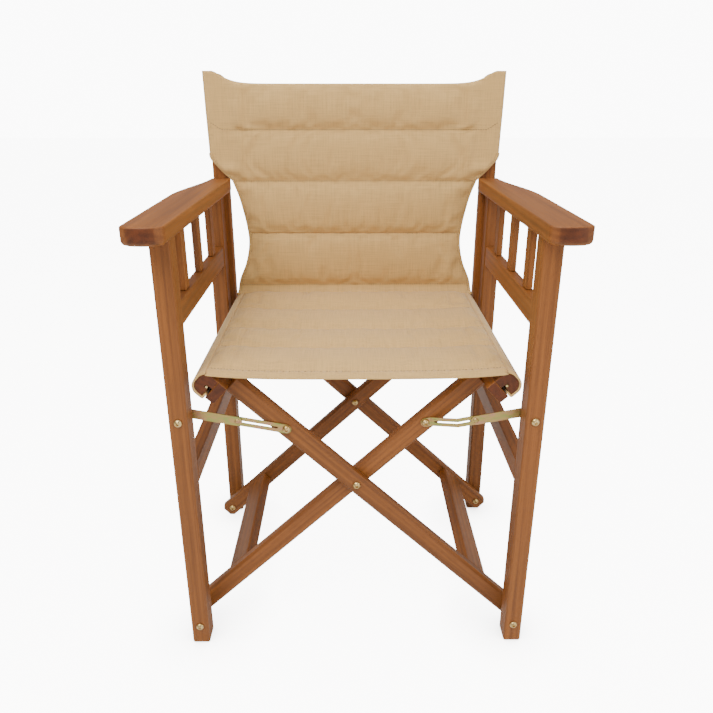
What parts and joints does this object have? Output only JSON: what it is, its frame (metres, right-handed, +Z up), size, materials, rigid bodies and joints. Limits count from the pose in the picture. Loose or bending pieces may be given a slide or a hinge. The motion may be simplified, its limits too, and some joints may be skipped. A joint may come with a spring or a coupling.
{
  "type": "folding chair",
  "caption": "Folding armchair with wooden side frames, crossed legs, slotted metal stays and a canvas sling forming seat and back.",
  "frame": {"origin": "centre of the chair's footprint on the floor, opened for use", "axes": "+Z up, -Y towards the front of the chair, +X towards the right of a viewer who stands in front of it"},
  "size_m": [0.562, 0.5173, 0.8312],
  "materials": {
    "wood": "oiled tropical hardwood, mid brown, satin",
    "canvas": "khaki cotton canvas, quilted, matte",
    "bolt_steel": "brass-plated, semi-bright",
    "stay_steel": "yellow zinc plated"
  },
  "bodies": {
    "side_left": {"front_leg_left": "wood", "rear_leg_left": "wood", "armrest_left": "wood", "mid_rail_left": "wood", "lower_rail_left": "wood", "arm_slat_left_1": "wood", "arm_slat_left_2": "wood", "arm_slat_left_3": "wood", "back_post_left": "wood", "post_sleeve_left": "canvas", "post_screw_left_1": "bolt_steel", "post_screw_left_2": "bolt_steel", "pivot_bolt_front_left": "bolt_steel", "pivot_bolt_rear_left": "bolt_steel", "pivot_spacer_front_left": "bolt_steel", "pivot_spacer_rear_left": "bolt_steel", "stay_bolt_left": "bolt_steel"},
    "side_right": {"front_leg_right": "wood", "rear_leg_right": "wood", "armrest_right": "wood", "mid_rail_right": "wood", "lower_rail_right": "wood", "arm_slat_right_1": "wood", "arm_slat_right_2": "wood", "arm_slat_right_3": "wood", "back_post_right": "wood", "post_sleeve_right": "canvas", "post_screw_right_1": "bolt_steel", "post_screw_right_2": "bolt_steel", "pivot_bolt_front_right": "bolt_steel", "pivot_bolt_rear_right": "bolt_steel", "pivot_spacer_front_right": "bolt_steel", "pivot_spacer_rear_right": "bolt_steel", "stay_bolt_right": "bolt_steel"},
    "inner_frame": {"inner_bar_front": "wood", "inner_bar_rear": "wood", "inner_stretcher": "wood", "inner_seat_rail_board": "wood", "inner_seat_rail_nose": "wood", "inner_hem_rod": "bolt_steel", "stay_pin_right": "bolt_steel"},
    "outer_frame": {"outer_bar_front": "wood", "outer_bar_rear": "wood", "outer_stretcher": "wood", "outer_seat_rail_board": "wood", "outer_seat_rail_nose": "wood", "outer_hem_rod": "bolt_steel", "stay_pin_left": "bolt_steel", "centre_bolt_front": "bolt_steel", "centre_bolt_rear": "bolt_steel"},
    "left_stay_on_leg": {"stay_outer_left": "stay_steel", "stay_rivet_left": "stay_steel"},
    "left_stay_on_bar": {"stay_inner_left": "stay_steel"},
    "right_stay_on_leg": {"stay_outer_right": "stay_steel", "stay_rivet_right": "stay_steel"},
    "right_stay_on_bar": {"stay_inner_right": "stay_steel"},
    "seat_cloth": {"seat_sling": "canvas"},
    "back_cloth": {"back_sling_upper": "canvas"},
    "lower_back_cloth": {"back_sling_lower": "canvas"}
  },
  "joints": [
    {"name": "fold", "type": "hinge", "parent": "side_left", "child": "inner_frame", "pos_m": [-0.2475, -0.2017, 0.032], "axis": [0, -1, 0], "range_deg": [0, 24.5], "deforming": ["seat_sling", "back_sling_upper", "back_sling_lower"]},
    {"name": "scissor", "type": "hinge", "parent": "inner_frame", "child": "outer_frame", "pos_m": [0, -0.2017, 0.2628], "axis": [0, 1, 0], "range_deg": [0, 54]},
    {"name": "lean", "type": "hinge", "parent": "outer_frame", "child": "side_right", "pos_m": [0.2475, -0.2017, 0.032], "axis": [0, -1, 0], "range_deg": [0, 24.6]},
    {"name": "left_leg_stay", "type": "hinge", "parent": "side_left", "child": "left_stay_on_leg", "pos_m": [-0.2475, -0.2017, 0.3855], "axis": [0, -1, 0], "range_deg": [0, 85]},
    {"name": "left_bar_stay", "type": "hinge", "parent": "outer_frame", "child": "left_stay_on_bar", "pos_m": [-0.10166, -0.2017, 0.35759], "axis": [0, -1, 0], "range_deg": [0, 56]},
    {"name": "right_leg_stay", "type": "hinge", "parent": "side_right", "child": "right_stay_on_leg", "pos_m": [0.2475, -0.2017, 0.3855], "axis": [0, 1, 0], "range_deg": [0, 85]},
    {"name": "right_bar_stay", "type": "hinge", "parent": "inner_frame", "child": "right_stay_on_bar", "pos_m": [0.10166, -0.2017, 0.35759], "axis": [0, 1, 0], "range_deg": [0, 56]},
    {"name": "seat_level", "type": "hinge", "parent": "inner_frame", "child": "seat_cloth", "pos_m": [0.20884, -0.2017, 0.4384], "axis": [0, 1, 0], "range_deg": [0, 27]},
    {"name": "back_swing", "type": "hinge", "parent": "side_left", "child": "back_cloth", "pos_m": [-0.2375, -0.2017, 0.762], "axis": [0, 1, 0], "range_deg": [0, 2.5]},
    {"name": "back_tuck", "type": "hinge", "parent": "seat_cloth", "child": "lower_back_cloth", "pos_m": [0, 0.2226, 0.4556], "axis": [-1, 0, 0], "range_deg": [0, 4.1]}
  ],
  "couplings": [
    {"joint": "scissor", "follows": "fold", "ratio": 2.1978},
    {"joint": "lean", "follows": "fold", "ratio": 1},
    {"joint": "left_leg_stay", "follows": "fold", "ratio": 3.4375},
    {"joint": "left_bar_stay", "follows": "fold", "ratio": 2.2617},
    {"joint": "right_leg_stay", "follows": "fold", "ratio": 3.4375},
    {"joint": "right_bar_stay", "follows": "fold", "ratio": 2.2617},
    {"joint": "seat_level", "follows": "fold", "ratio": 1.0989},
    {"joint": "back_swing", "follows": "fold", "ratio": 0.0989},
    {"joint": "back_tuck", "follows": "fold", "ratio": 0.163}
  ]
}
